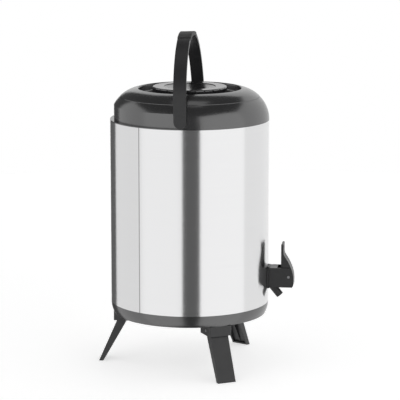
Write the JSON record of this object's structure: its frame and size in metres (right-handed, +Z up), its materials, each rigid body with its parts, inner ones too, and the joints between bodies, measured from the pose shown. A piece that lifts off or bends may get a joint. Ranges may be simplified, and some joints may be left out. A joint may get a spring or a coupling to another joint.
{
  "type": "insulated beverage dispenser",
  "caption": "Insulated steel drinks dispenser with a spring-closed lever tap, a lift-off lid with a vent knob, a fold-down bail handle and folding legs.",
  "frame": {"origin": "on the floor plane under the centre of the bounding box; the barrel's axis stands 11 mm behind it, towards +Y", "axes": "+Z up along the barrel, -Y out through the tap (front), +X to the right seen from the front, along the handle's pivot line"},
  "size_m": [0.2878, 0.3361, 0.5718],
  "materials": {
    "steel": "fine vertical brushing on a polished barrel",
    "liner_steel": "satin drawn steel",
    "gloss_black": "glossy moulded black",
    "satin_black": "satin moulded black with fine grain",
    "soft_grip": "soft-touch black",
    "silicone": "translucent food-grade silicone",
    "black_rubber": "matt black rubber",
    "foam": "rigid insulating foam",
    "fastener_steel": "bright steel fasteners and pins"
  },
  "bodies": {
    "root": {"outer_shell": "steel", "inner_liner": "liner_steel", "foam_jacket": "foam", "collar": "gloss_black", "handle_pins": "fastener_steel", "base_ring": "gloss_black", "base_pan": "satin_black", "base_screws": "fastener_steel", "bracket_screws": "fastener_steel", "leg_pins": "fastener_steel", "tap_body": "satin_black", "lever_pin": "fastener_steel", "tap_spring": "fastener_steel", "tap_gasket_outer": "black_rubber", "tap_gasket_inner": "silicone", "tap_nut": "satin_black", "leg_bracket_rear": "satin_black", "leg_bracket_left": "satin_black", "leg_bracket_right": "satin_black"},
    "handle": {"handle_bail": "satin_black", "handle_grip": "soft_grip"},
    "lid": {"lid_cover": "gloss_black", "lid_inner": "satin_black", "lid_gasket": "silicone", "lid_foam": "foam"},
    "knob": {"lid_knob": "gloss_black", "vent_seal": "silicone", "knob_screw": "fastener_steel"},
    "lever": {"tap_lever": "satin_black"},
    "stem": {"tap_stem": "fastener_steel", "tap_seal": "silicone"},
    "leg_rear": {"leg_rear": "satin_black"},
    "leg_left": {"leg_left": "satin_black"},
    "leg_right": {"leg_right": "satin_black"}
  },
  "joints": [
    {"name": "handle_swing", "type": "hinge", "parent": "root", "child": "handle", "pos_m": [0, 0.011, 0.436], "axis": [-1, 0, 0], "range_deg": [0, 88]},
    {"name": "lid_lift", "type": "slide", "parent": "root", "child": "lid", "axis": [0, 0, 1], "range_m": [0, 0.02]},
    {"name": "knob_turn", "type": "hinge", "parent": "lid", "child": "knob", "pos_m": [0, 0.011, 0.467], "axis": [0, 0, 1], "range_deg": [0, 90]},
    {"name": "tap_lever_push", "type": "hinge", "parent": "root", "child": "lever", "pos_m": [0, -0.1598, 0.1558], "axis": [-1, 0, 0], "range_deg": [0, 18], "stiffness_Nm_per_rad": 0.3, "springref_deg": -20.05},
    {"name": "tap_stem_slide", "type": "slide", "parent": "root", "child": "stem", "axis": [0, -1, 0], "range_m": [0, 0.0032], "deforming": ["tap_spring"]},
    {"name": "leg_rear_fold", "type": "hinge", "parent": "root", "child": "leg_rear", "pos_m": [0, 0.124, 0.0812], "axis": [-1, 0, 0], "range_deg": [0, 115]},
    {"name": "leg_left_fold", "type": "hinge", "parent": "root", "child": "leg_left", "pos_m": [-0.09786, -0.0455, 0.0812], "axis": [0.5, -0.866, 0], "range_deg": [0, 115]},
    {"name": "leg_right_fold", "type": "hinge", "parent": "root", "child": "leg_right", "pos_m": [0.09786, -0.0455, 0.0812], "axis": [0.5, 0.866, 0], "range_deg": [0, 115]}
  ],
  "couplings": [
    {"joint": "tap_stem_slide", "follows": "tap_lever_push", "m_per_rad": 0.01}
  ]
}
